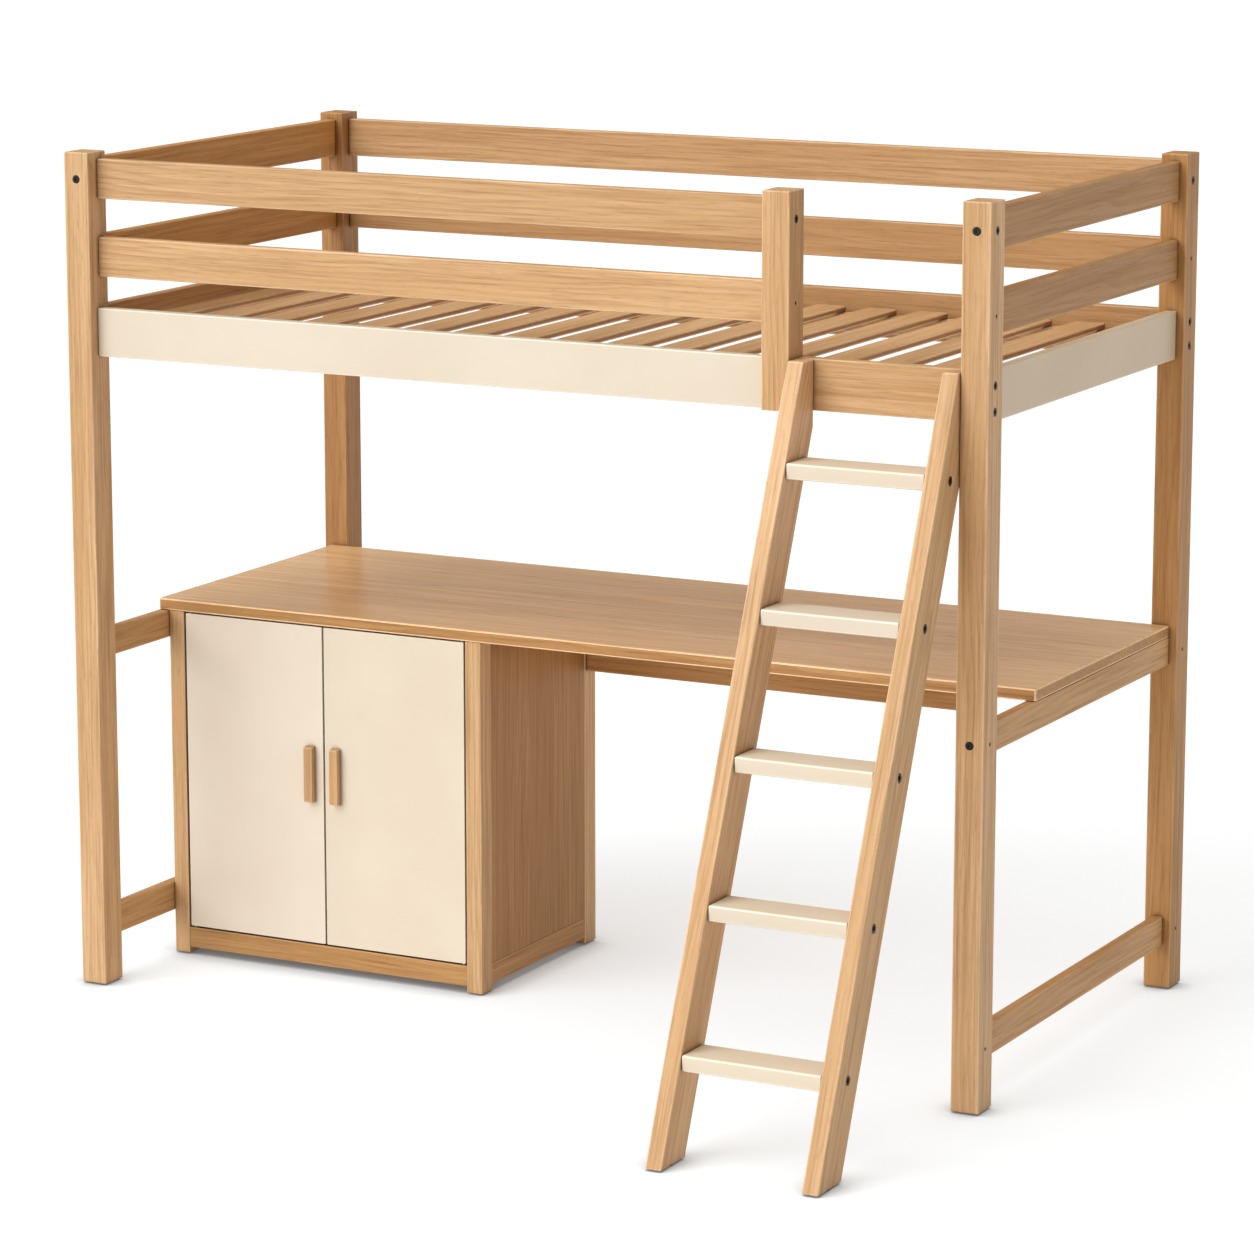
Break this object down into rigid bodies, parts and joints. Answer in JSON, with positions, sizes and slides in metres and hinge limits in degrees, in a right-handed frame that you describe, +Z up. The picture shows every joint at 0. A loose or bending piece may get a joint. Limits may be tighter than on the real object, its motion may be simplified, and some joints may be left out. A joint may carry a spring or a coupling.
{
  "type": "loft bed with desk",
  "caption": "Wooden loft bed on tall posts with guard rails, a slatted base and a slanted ladder, over a full-length desktop and a cabinet with two hinged doors.",
  "frame": {"origin": "on the floor, at the middle of the whole object's bounding box seen from above, ladder included", "axes": "+X along the bed towards the ladder end, +Y from the ladder side towards the back, +Z up"},
  "size_m": [1.99, 1.6142, 1.7],
  "materials": {
    "light_oak": "clear matt lacquer",
    "cream_paint": "satin paint",
    "pivot_steel": "plain",
    "bolt_black": "black oxide",
    "catch_plastic": "matt",
    "webbing": "woven"
  },
  "bodies": {
    "frame": {"post_front_left": "light_oak", "post_front_right": "light_oak", "post_back_left": "light_oak", "post_back_right": "light_oak", "post_gate": "light_oak", "guard_front_upper": "light_oak", "guard_front_lower": "light_oak", "guard_back_upper": "light_oak", "guard_back_lower": "light_oak", "guard_left_upper": "light_oak", "guard_left_lower": "light_oak", "guard_right_upper": "light_oak", "guard_right_lower": "light_oak", "bed_rail_gate": "light_oak", "bed_rail_back": "light_oak", "bed_rail_left": "light_oak", "slat_ledge_front": "light_oak", "slat_ledge_back": "light_oak", "slat_base": "light_oak", "desktop": "light_oak", "desk_rail_left": "light_oak", "desk_rail_right": "light_oak", "desk_apron": "light_oak", "stretcher_left": "light_oak", "stretcher_right": "light_oak", "ladder_stile_left": "light_oak", "ladder_stile_right": "light_oak", "cabinet_post_front_left": "light_oak", "cabinet_post_front_right": "light_oak", "cabinet_post_back_left": "light_oak", "cabinet_post_back_right": "light_oak", "cabinet_side_left": "light_oak", "cabinet_side_right": "light_oak", "cabinet_base_left": "light_oak", "cabinet_base_right": "light_oak", "cabinet_base_front": "light_oak", "cabinet_base_back": "light_oak", "cabinet_back_panel": "light_oak", "cabinet_top_rail": "light_oak", "cabinet_bottom": "light_oak", "cabinet_shelf": "light_oak", "shelf_batten_left": "light_oak", "shelf_batten_right": "light_oak", "bed_rail_front": "cream_paint", "bed_rail_right": "cream_paint", "ladder_rung_1": "cream_paint", "ladder_rung_2": "cream_paint", "ladder_rung_3": "cream_paint", "ladder_rung_4": "cream_paint", "ladder_rung_5": "cream_paint", "door_catch_left": "catch_plastic", "door_catch_right": "catch_plastic"},
    "door_left": {"door_left": "cream_paint", "door_left_handle": "light_oak", "door_left_pivot_top": "pivot_steel", "door_left_pivot_bottom": "pivot_steel"},
    "door_right": {"door_right": "cream_paint", "door_right_handle": "light_oak", "door_right_pivot_top": "pivot_steel", "door_right_pivot_bottom": "pivot_steel"}
  },
  "joints": [
    {"name": "door_left_hinge", "type": "hinge", "parent": "frame", "child": "door_left", "pos_m": [-0.9095, 0.0635, 0.4], "axis": [0, 0, -1], "range_deg": [0, 90]},
    {"name": "door_right_hinge", "type": "hinge", "parent": "frame", "child": "door_right", "pos_m": [-0.266, 0.0635, 0.4], "axis": [0, 0, 1], "range_deg": [0, 110]}
  ]
}
